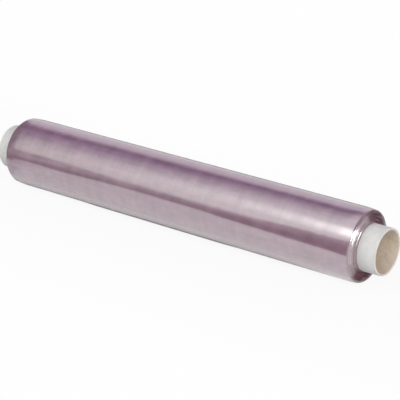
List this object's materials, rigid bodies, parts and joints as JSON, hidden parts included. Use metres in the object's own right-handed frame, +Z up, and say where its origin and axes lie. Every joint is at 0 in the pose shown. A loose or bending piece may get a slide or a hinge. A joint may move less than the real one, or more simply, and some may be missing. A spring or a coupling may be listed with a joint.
{
  "type": "cling film roll",
  "caption": "Wide roll of glossy lilac cling film wound on a white paperboard core whose ends stick out past the film.",
  "frame": {"origin": "on the surface that the roll lies on, under the middle of the roll", "axes": "+X along the roll and its core, +Z up"},
  "size_m": [0.49, 0.0754, 0.0753],
  "materials": {
    "core_board": "white paper liner outside, bare grey-brown board inside",
    "cling_film": "glossy wound film, lilac in depth, darker at the ends"
  },
  "bodies": {
    "root": {"cardboard_core": "core_board", "wound_film": "cling_film"}
  },
  "joints": []
}
